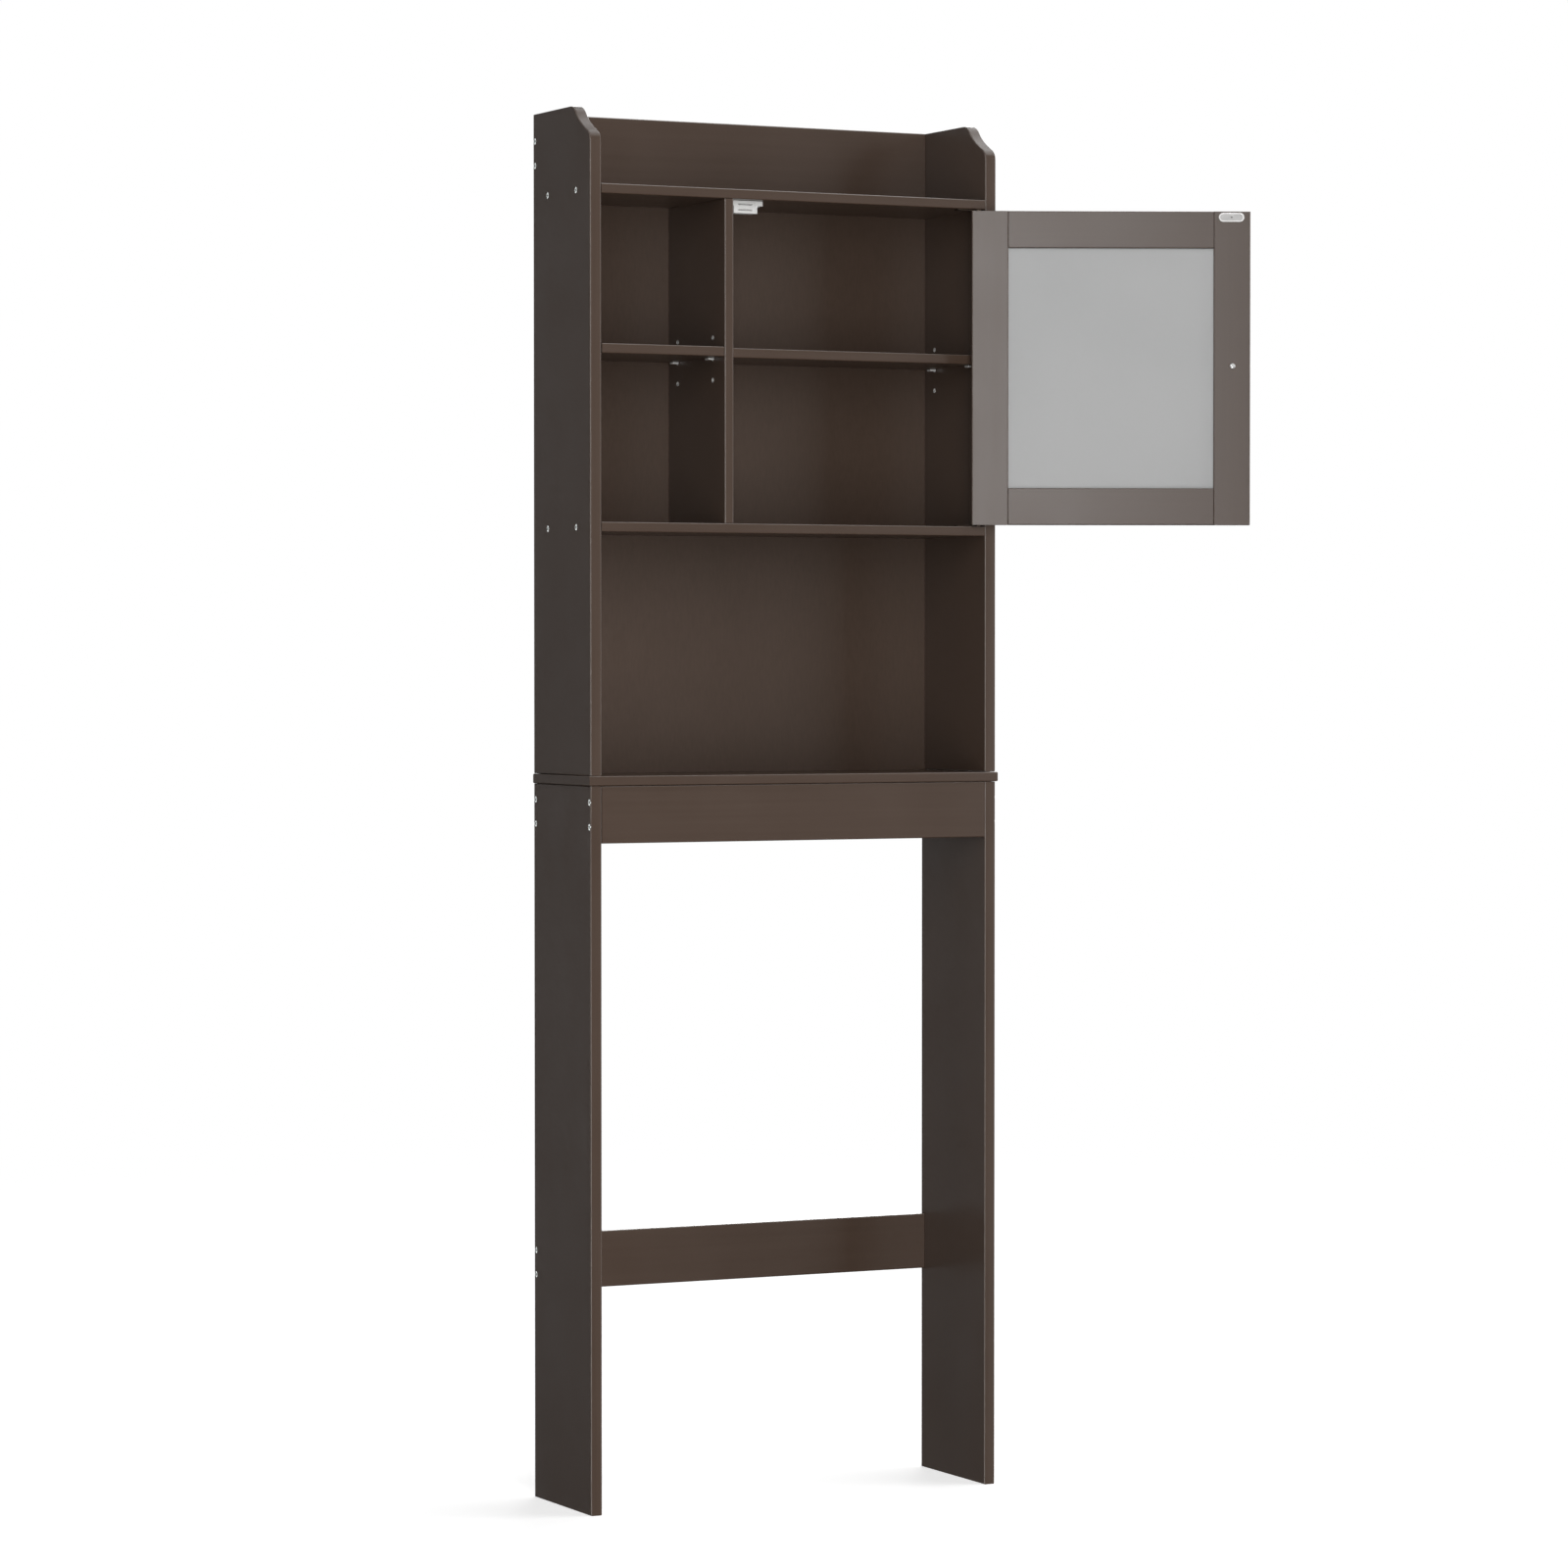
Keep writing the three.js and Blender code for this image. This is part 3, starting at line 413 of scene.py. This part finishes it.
# Near-black steel for the screw in the strike plate's dish: its dark colour is painted shade of
# that recess.
painted_shade_steel = plated("painted_shade_steel", (0.06, 0.058, 0.055), 0.45, (500, 500, 500))
white_plastic = moulded_plastic("white_plastic")
magnet_ferrite = ferrite("catch_magnet")

# ---------------------------------------------------------------- finishes on the CAD nodes

UPRIGHTS = ("upper_side_panel", "leg_panel", "partition")
DOOR_STILES = ("door_hinge_stile", "door_knob_stile")
DOOR_RAILS = ("door_top_rail", "door_bottom_rail")


def finish_of(name):
    # The hinge leaves get the dark bronze, which is partly painted shade.
    if name.endswith("hinge_leaf"):
        return bronze_and_painted_shade
    if name in DOOR_STILES:
        return door_stile_laminate
    if name in DOOR_RAILS:
        return door_rail_laminate
    if name.endswith(UPRIGHTS):
        return upright_laminate
    special = {
        "back_panel": back_hardboard,
        "door_pane": pane_frosted,
        "magnetic_catch_housing": white_plastic,
    }
    return special.get(name, cross_laminate)


def smooth_group():
    """A node group that joins a mesh's split corners and shades its shallow edges as curves."""
    group = bpy.data.node_groups.new("smooth_shallow_edges", "GeometryNodeTree")
    group.interface.new_socket("Geometry", in_out="INPUT", socket_type="NodeSocketGeometry")
    group.interface.new_socket("Geometry", in_out="OUTPUT", socket_type="NodeSocketGeometry")
    start = group.nodes.new("NodeGroupInput").outputs[0]
    bare = add_node(group, "GeometryNodeRemoveAttribute", Geometry=start, Name="custom_normal")
    welded = add_node(
        group, "GeometryNodeMergeByDistance", Geometry=bare.outputs[0], Distance=WELD_GAP * MM
    )
    faces = add_node(
        group, "GeometryNodeSetShadeSmooth", {"domain": "FACE"}, Geometry=welded.outputs[0]
    )
    faces.inputs["Shade Smooth"].default_value = True
    angle = add_node(group, "GeometryNodeInputMeshEdgeAngle").outputs["Unsigned Angle"]
    shallow = add_node(
        group,
        "FunctionNodeCompare",
        {"data_type": "FLOAT", "operation": "LESS_THAN"},
        at0=angle,
        at1=math.radians(SMOOTH_BELOW_DEG),
    )
    edges = add_node(
        group, "GeometryNodeSetShadeSmooth", {"domain": "EDGE"}, Geometry=faces.outputs[0]
    )
    group.links.new(shallow.outputs[0], edges.inputs["Shade Smooth"])
    group.links.new(edges.outputs[0], group.nodes.new("NodeGroupOutput").inputs[0])
    return group


smooth_shallow_edges = smooth_group()


def shade(piece, bevel=0.0):
    """Welds, softens and shades a piece with modifiers, which leave its mesh as it is."""
    if bevel:
        weld = piece.modifiers.new("weld", "WELD")
        weld.merge_threshold = WELD_GAP * MM
        flats = piece.modifiers.new("flats", "DECIMATE")
        flats.decimate_type = "DISSOLVE"
        flats.angle_limit = math.radians(0.5)
        edge = piece.modifiers.new("soft_edges", "BEVEL")
        edge.width = bevel * MM
        edge.segments = 2
        edge.limit_method = "ANGLE"
        edge.angle_limit = math.radians(SMOOTH_BELOW_DEG)
        edge.use_clamp_overlap = True
    smooth = piece.modifiers.new("smooth", "NODES")
    smooth.node_group = smooth_shallow_edges
    weighted = piece.modifiers.new("weighted_normals", "WEIGHTED_NORMAL")
    weighted.keep_sharp = True


for name, cad_node in nodes.items():
    cad_node.data.materials.clear()
    cad_node.data.materials.append(finish_of(name))
    is_small = name.endswith(("hinge_leaf", "catch_housing"))
    shade(cad_node, SOFT_EDGE if is_small else 0.0)

# ---------------------------------------------------------------- meshes from rings of points


def round_outline(radius, _angle):
    return radius


def hex_outline(radius, angle):
    sixth = math.pi / 3
    return radius * math.cos(sixth / 2) / math.cos(angle % sixth - sixth / 2)


def cross_outline(radius, angle):
    """A cross recess: arms a quarter as wide as they are long."""
    quarter = math.pi / 2
    from_arm = abs((angle + quarter / 2) % quarter - quarter / 2)
    side = radius / 4 / max(math.sin(from_arm), 1e-6)
    return min(radius / math.cos(from_arm), side)


def ring(radius, height, outline=round_outline, steps=SCREW_STEPS):
    angles = [2 * math.pi * step / steps for step in range(steps)]
    reach = [outline(radius, angle) for angle in angles]
    return [
        Vector((r * math.cos(a), r * math.sin(a), height)) * MM for r, a in zip(reach, angles)
    ]


def skin(shape, rings):
    """Adds a closed skin to a bmesh: quads between the rings, and a cap at each end."""
    loops = [[shape.verts.new(point) for point in points] for points in rings]
    for below, above in zip(loops, loops[1:]):
        for near, far in zip(range(-1, len(below) - 1), range(len(below))):
            shape.faces.new((below[near], below[far], above[far], above[near]))
    shape.faces.new(reversed(loops[0]))
    shape.faces.new(loops[-1])


def tube(shape, rings):
    """Adds a skin whose last ring meets its first one again, as on a washer or a sleeve."""
    loops = [[shape.verts.new(point) for point in points] for points in rings]
    for below, above in zip(loops, loops[1:] + loops[:1]):
        for near, far in zip(range(-1, len(below) - 1), range(len(below))):
            shape.faces.new((below[near], below[far], above[far], above[near]))


def to_mesh(name, shape, material):
    bmesh.ops.recalc_face_normals(shape, faces=shape.faces)
    mesh = bpy.data.meshes.new(name)
    shape.to_mesh(mesh)
    shape.free()
    mesh.materials.append(material)
    return mesh


def new_piece(name, mesh, matrix, body):
    """Puts a mesh in the scene at a place in the frame, riding on a body."""
    piece = bpy.data.objects.new(name, mesh)
    scene.collection.objects.link(piece)
    piece.matrix_world = matrix
    shade(piece)
    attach(piece, body)
    return piece


def rounded_block(shape, low, high, radius):
    """Adds a block with rounded edges to a bmesh, in mm."""
    size = Vector(high) - Vector(low)
    place = Matrix.Translation((Vector(low) + Vector(high)) / 2 * MM)
    made = bmesh.ops.create_cube(shape, size=1.0, matrix=place @ Matrix.Diagonal((*size * MM, 1)))
    edges = {edge for vertex in made["verts"] for edge in vertex.link_edges}
    bmesh.ops.bevel(
        shape, geom=list(edges), offset=radius * MM, segments=3, profile=0.5, affect="EDGES"
    )


# ---------------------------------------------------------------- structural screws


def structural_screw_mesh():
    """A countersunk screw with a hex socket. Its head faces +Z at z = 0."""
    shape = bmesh.new()
    skin(
        shape,
        [
            ring(SCREW_SOCKET_R * 0.3, -SCREW_SOCKET_DEPTH - 0.5),
            ring(SCREW_SOCKET_R, -SCREW_SOCKET_DEPTH, hex_outline),
            ring(SCREW_SOCKET_R, -SCREW_LIP, hex_outline),
            ring(SCREW_SOCKET_R + SCREW_LIP, 0, hex_outline),
            ring(SCREW_HEAD_R - 2 * SCREW_LIP, 0),
            ring(SCREW_HEAD_R - SCREW_LIP / 2, -SCREW_LIP / 2),
            ring(SCREW_HEAD_R, -2 * SCREW_LIP),
            ring(SCREW_HEAD_R, -SCREW_RIM_END),
            ring(SCREW_SHANK_R, -SCREW_CONE_END),
            ring(SCREW_SHANK_R, SCREW_TIP_LENGTH - SCREW_LENGTH),
            ring(SCREW_TIP_R, -SCREW_LENGTH),
        ],
    )
    return to_mesh("structural_screw", shape, zinc)


screw_mesh = structural_screw_mesh()
for name in [n for n in nodes if "_screw_" in n]:
    low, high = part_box(name)
    centre = (low + high) / 2
    side = -1 if centre.x < 0 else 1
    head = (low.x if side < 0 else high.x, centre.y, centre.z)
    matrix = facing((side, 0, 0), head)
    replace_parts(new_piece("fine_" + name, screw_mesh, matrix, "carcass"), name)

# ---------------------------------------------------------------- shelf pins and hole sleeves

# Each pinned wall: the panel, which of its faces, and the way that its pins point.
PIN_WALLS = {
    "left_shelf_left": ("left_upper_side_panel", 1, 1),
    "left_shelf_right": ("partition", 0, -1),
    "right_shelf_left": ("partition", 1, 1),
    "right_shelf_right": ("right_upper_side_panel", 0, -1),
}


def shelf_pin_mesh():
    """A spoon pin pointing along +Z, with its pad's flat face towards -X."""
    shape = bmesh.new()
    skin(
        shape,
        [
            ring(PEG_R - PEG_CHAMFER, -PEG_LENGTH),
            ring(PEG_R, PEG_CHAMFER - PEG_LENGTH),
            ring(PEG_R, 0),
            ring(PEG_R - PEG_NECK_TAPER, PEG_NECK),
        ],
    )
    half = PAD_WIDTH / 2
    far_corner = (PAD_T - PAD_TOP, half, PAD_REACH)
    rounded_block(shape, (-PAD_TOP, -half, PAD_GAP), far_corner, PAD_ROUND)
    return to_mesh("shelf_pin", shape, pin_nickel)


def sleeve_mesh():
    """A lipped sleeve pressed into a pin hole, with its lip on the wall at z = 0."""
    shape = bmesh.new()
    tube(
        shape,
        [
            ring(SLEEVE_R, -SLEEVE_DEPTH),
            ring(SLEEVE_R, SLEEVE_LIFT),
            ring(SLEEVE_LIP_R, SLEEVE_LIFT),
            ring(SLEEVE_LIP_R, SLEEVE_LIP_T * 0.6),
            ring(SLEEVE_LIP_R - 0.2, SLEEVE_LIP_T),
            ring(SLEEVE_BORE_R + 0.2, SLEEVE_LIP_T),
            ring(SLEEVE_BORE_R, SLEEVE_LIP_T * 0.5),
            ring(SLEEVE_BORE_R, -SLEEVE_DEPTH),
        ],
    )
    return to_mesh("hole_sleeve", shape, pin_nickel)


pin_mesh, hole_mesh = shelf_pin_mesh(), sleeve_mesh()
for wall, (panel, face, way) in PIN_WALLS.items():
    wall_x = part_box(panel)[face].x
    for where in ("front", "rear"):
        name = f"{wall}_{where}_pin"
        _, y, z = middle(name)
        # The pin's own axes: +Z out of the wall, and -X up.
        turn = Matrix(((0, 0, way), (0, way, 0), (-1, 0, 0))).to_4x4()
        matrix = Matrix.Translation((wall_x, y, z)) @ turn
        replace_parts(new_piece("fine_" + name, pin_mesh, matrix, "carcass"), name)
        for word, step in (("below", -1), ("above", 1)):
            place = (wall_x, y, z + step * HOLE_PITCH * MM)
            matrix = facing((way, 0, 0), place)
            new_piece(f"{wall}_{where}_sleeve_{word}", hole_mesh, matrix, "carcass")

# ---------------------------------------------------------------- small cross-recess screws


def cross_screw_mesh(name, measures, material):
    """A domed head on z = 0, facing +Z, with a cross recess and a plain shank behind it."""
    radius, height, length = measures
    shape = bmesh.new()
    recess = radius * 0.62
    skin(
        shape,
        [
            ring(recess * 0.35, -height * 0.35, cross_outline),
            ring(recess * 0.9, height * 0.45, cross_outline),
            ring(recess, height * 0.97, cross_outline),
            ring(radius * 0.72, height * 0.92),
            ring(radius * 0.88, height * 0.72),
            ring(radius * 0.97, height * 0.4),
            ring(radius, height * 0.1),
            ring(radius * 0.98, 0),
            ring(radius * 0.45, -0.05),
            ring(radius * 0.45, -length),
        ],
    )
    return to_mesh(name, shape, material)


def add_knob_screw():
    inner_y = door_box("door_knob_stile")[1].y
    low, high = door_box("door_knob")
    place = DOOR_FRAME @ Vector(((low.x + high.x) / 2, inner_y, (low.z + high.z) / 2))
    mesh = cross_screw_mesh("knob_screw", KNOB_SCREW, bright_steel)
    matrix = facing(DOOR_FRAME.to_3x3() @ Vector((0, 1, 0)), place)
    matrix = matrix @ Matrix.Rotation(KNOB_SCREW_TURN, 4, "Z")
    new_piece("knob_screw", mesh, matrix, "door")


def add_leaf_screws():
    mesh = cross_screw_mesh("leaf_screw", LEAF_SCREW, bronze_and_painted_shade)
    frames = {"frame": Matrix.Translation(DOOR_FRAME.translation), "door": DOOR_FRAME}
    for level in ("upper", "lower"):
        for part, place in frames.items():
            low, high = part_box(f"{level}_{part}_hinge_leaf")
            # The frame's leaves face the door, and the door's leaves face away from it.
            up = 1 if (part == "door") == (level == "upper") else -1
            if part == "frame":
                z = low.z if level == "upper" else high.z
            else:
                z = low.z + LEAF_T * MM if level == "upper" else high.z - LEAF_T * MM
            for index, u in enumerate(LEAF_SCREW_U):
                spot = place @ Vector((u * MM, LEAF_SCREW_V * MM, 0))
                spot.z = z - up * LEAF_HEAD_HEIGHT * MM
                body = "carcass" if part == "frame" else "door"
                label = f"{level}_{part}_leaf_screw_{index + 1}"
                new_piece(label, mesh, facing((0, 0, up), spot), body)


add_knob_screw()
add_leaf_screws()

# ---------------------------------------------------------------- magnetic catch


def add_catch_parts():
    low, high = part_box("catch_magnet")
    half = (high - low) / 2 / MM
    to_centre = Matrix.Translation((low + high) / 2)

    def add_block(name, front, bottom, top, radius, material, slot):
        shape = bmesh.new()
        rounded_block(shape, (-half.x, front, bottom), (half.x, half.y, top), radius)
        return new_piece(name, to_mesh(name, shape, material), to_centre, "carcass")

    inside = half.z - POLE_T
    front = POLE_REACH - half.y
    magnet = add_block(
        "sintered_magnet", front, -inside, inside, 0.3, magnet_ferrite, "catch_magnet"
    )
    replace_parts(magnet, "catch_magnet")
    plate = (0.2, satin_nickel, "nickel_fittings")
    add_block("lower_pole_plate", -half.y, -half.z, -inside, *plate)
    add_block("upper_pole_plate", -half.y, inside, half.z, *plate)

    low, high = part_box("magnetic_catch_housing")
    mesh = cross_screw_mesh("catch_screw", CATCH_SCREW, zinc)
    ear_bottom = high.z - EAR_T * MM
    for word, x in (("left", low.x + EAR_WIDTH * MM / 2), ("right", high.x - EAR_WIDTH * MM / 2)):
        place = (x, (low.y + high.y) / 2, ear_bottom)
        matrix = facing((0, 0, -1), place)
        new_piece(f"catch_screw_{word}", mesh, matrix, "carcass")


add_catch_parts()

# ---------------------------------------------------------------- strike plate


def obround(half_length, half_height, inset, height, steps=SCREW_STEPS):
    """A ring of points round an oblong with round ends, moved in from its edge."""
    straight = half_length - half_height
    radius = half_height - inset
    points = []
    for step in range(steps):
        angle = 2 * math.pi * (step + 0.5) / steps
        shift = math.copysign(straight, math.cos(angle))
        points.append(Vector((shift + radius * math.cos(angle), radius * math.sin(angle), height)))
    return [point * MM for point in points]


def add_strike_plate():
    low, high = door_box("strike_plate")
    size = (high - low) / MM
    half_l, half_h, thick = size.x / 2, size.z / 2, size.y
    shape = bmesh.new()
    skin(
        shape,
        [
            obround(half_l, half_h, 0.1, -thick),
            obround(half_l, half_h, 0.0, -thick + 0.15),
            obround(half_l, half_h, 0.0, -0.3),
            obround(half_l, half_h, 0.1, -0.1),
            obround(half_l, half_h, 0.35, 0.0),
            obround(half_l, half_h, STRIKE_RIM - 0.3, 0.0),
            obround(half_l, half_h, STRIKE_RIM, -0.1),
            obround(half_l, half_h, STRIKE_RIM + 0.4, -STRIKE_DISH),
        ],
    )
    mesh = to_mesh("strike_plate", shape, satin_nickel)
    # The dish takes the darker copy of the nickel: painted shade.
    mesh.materials.append(dish_nickel_painted_shade)
    dish = max(mesh.polygons, key=lambda face: (len(face.vertices), face.center.z))
    dish.material_index = 1
    face = Vector(((low.x + high.x) / 2, high.y, (low.z + high.z) / 2))
    # The plate's own axes: +X along the door, +Z out of its inner face.
    turn = DOOR_FRAME.to_3x3().to_4x4() @ Matrix.Rotation(-math.pi / 2, 4, "X")
    matrix = Matrix.Translation(DOOR_FRAME @ face) @ turn
    plate = new_piece("dished_strike_plate", mesh, matrix, "door")
    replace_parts(plate, "strike_plate")
    # The strike screw is near black: painted shade of the dish that it sits in.
    screw = cross_screw_mesh("strike_screw", STRIKE_SCREW, painted_shade_steel)
    sunk = matrix @ Matrix.Translation((0, 0, -STRIKE_DISH * MM))
    new_piece("strike_screw", screw, sunk, "door")


add_strike_plate()

# ---------------------------------------------------------------- knob

# The knob's half section, as [distance out from the door, radius] points that a curve runs through.
KNOB_FOOT = [(0, 8), (1.2, 8), (1.6, 7.7)]
KNOB_WAIST = [(3.2, 6.2), (6, 5.3), (9, 5.6), (13, 8.4), (16, 12)]
KNOB_HEAD = [(19, 13), (21.6, 12.2), (23.4, 9), (24.2, 4.6)]
KNOB_TIP = (24.4, 0.6)
KNOB_STEPS = 72


def smooth_profile(points, pieces=5):
    """Points along a Catmull-Rom curve through the given ones."""
    padded = [points[0], *points, points[-1]]
    profile = []
    for before, start, end, after in zip(padded, padded[1:], padded[2:], padded[3:]):
        p = [Vector(point) for point in (before, start, end, after)]
        for step in range(pieces):
            t = step / pieces
            across = p[1] + 0.5 * t * (p[2] - p[0])
            across += 0.5 * t * t * (2 * p[0] - 5 * p[1] + 4 * p[2] - p[3])
            across += 0.5 * t * t * t * (3 * p[1] - p[0] - 3 * p[2] + p[3])
            profile.append(across)
    return [*profile, Vector(points[-1])]


def add_knob():
    low, high = door_box("door_knob")
    profile = smooth_profile([*KNOB_FOOT, *KNOB_WAIST, *KNOB_HEAD, KNOB_TIP])
    shape = bmesh.new()
    skin(shape, [ring(radius, along, steps=KNOB_STEPS) for along, radius in profile])
    foot = DOOR_FRAME @ Vector(((low.x + high.x) / 2, high.y, (low.z + high.z) / 2))
    matrix = facing(DOOR_FRAME.to_3x3() @ Vector((0, -1, 0)), foot)
    mesh = to_mesh("door_knob", shape, fitting_nickel)
    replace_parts(new_piece("turned_knob", mesh, matrix, "door"), "door_knob")


add_knob()

# ---------------------------------------------------------------- floor, light and camera


def add_floor():
    """A wide plain floor. It neither lights the object nor shades it from the low lamps."""
    shape = bmesh.new()
    bmesh.ops.create_grid(shape, x_segments=8, y_segments=8, size=40)
    mesh = to_mesh("floor", shape, pale_floor("pale_floor"))
    floor = bpy.data.objects.new("floor", mesh)
    scene.collection.objects.link(floor)
    floor.visible_diffuse = False
    floor.visible_glossy = False
    floor.visible_shadow = False


def add_world():
    """Soft even light from all round, in front of a plain white backdrop."""
    world = bpy.data.worlds.new("studio")
    world.use_nodes = True
    tree = world.node_tree
    tree.nodes.clear()
    soft = add_node(tree, "ShaderNodeBackground", Color=(1, 1, 1, 1), Strength=WORLD_LIGHT)
    white = add_node(tree, "ShaderNodeBackground", Color=(1, 1, 1, 1), Strength=BACKDROP)
    seen = add_node(tree, "ShaderNodeLightPath").outputs["Is Camera Ray"]
    both = add_node(
        tree, "ShaderNodeMixShader", at0=seen, at1=soft.outputs[0], at2=white.outputs[0]
    )
    add_node(tree, "ShaderNodeOutputWorld", Surface=both.outputs[0])
    scene.world = world


def add_softbox(name, azimuth, elevation, distance, size, watts):
    """An area lamp facing LAMP_AIM, that the camera doesn't see."""
    turn, rise = math.radians(azimuth), math.radians(elevation)
    away = Vector(
        (math.sin(turn) * math.cos(rise), -math.cos(turn) * math.cos(rise), math.sin(rise))
    )
    lamp = bpy.data.lights.new(name, "AREA")
    lamp.shape = "RECTANGLE"
    lamp.size, lamp.size_y = size
    lamp.energy = watts
    box = bpy.data.objects.new(name, lamp)
    scene.collection.objects.link(box)
    box.location = Vector(LAMP_AIM) + away * distance
    box.rotation_euler = away.to_track_quat("Z", "Y").to_euler()
    box.visible_camera = False


def add_camera():
    camera = bpy.data.objects.new("camera", bpy.data.cameras.new("camera"))
    scene.collection.objects.link(camera)
    camera.location = CAMERA_PLACE
    pitch, yaw = math.radians(CAMERA_PITCH_DEG), math.radians(CAMERA_YAW_DEG)
    camera.rotation_euler = (math.pi / 2 + pitch, 0, -yaw)
    camera.data.lens = CAMERA_LENS
    camera.data.sensor_width = CAMERA_SENSOR
    scene.camera = camera


add_floor()
add_world()
for name, placing in LAMPS.items():
    add_softbox(name, *placing)
add_camera()
scene.view_settings.view_transform = "Standard"
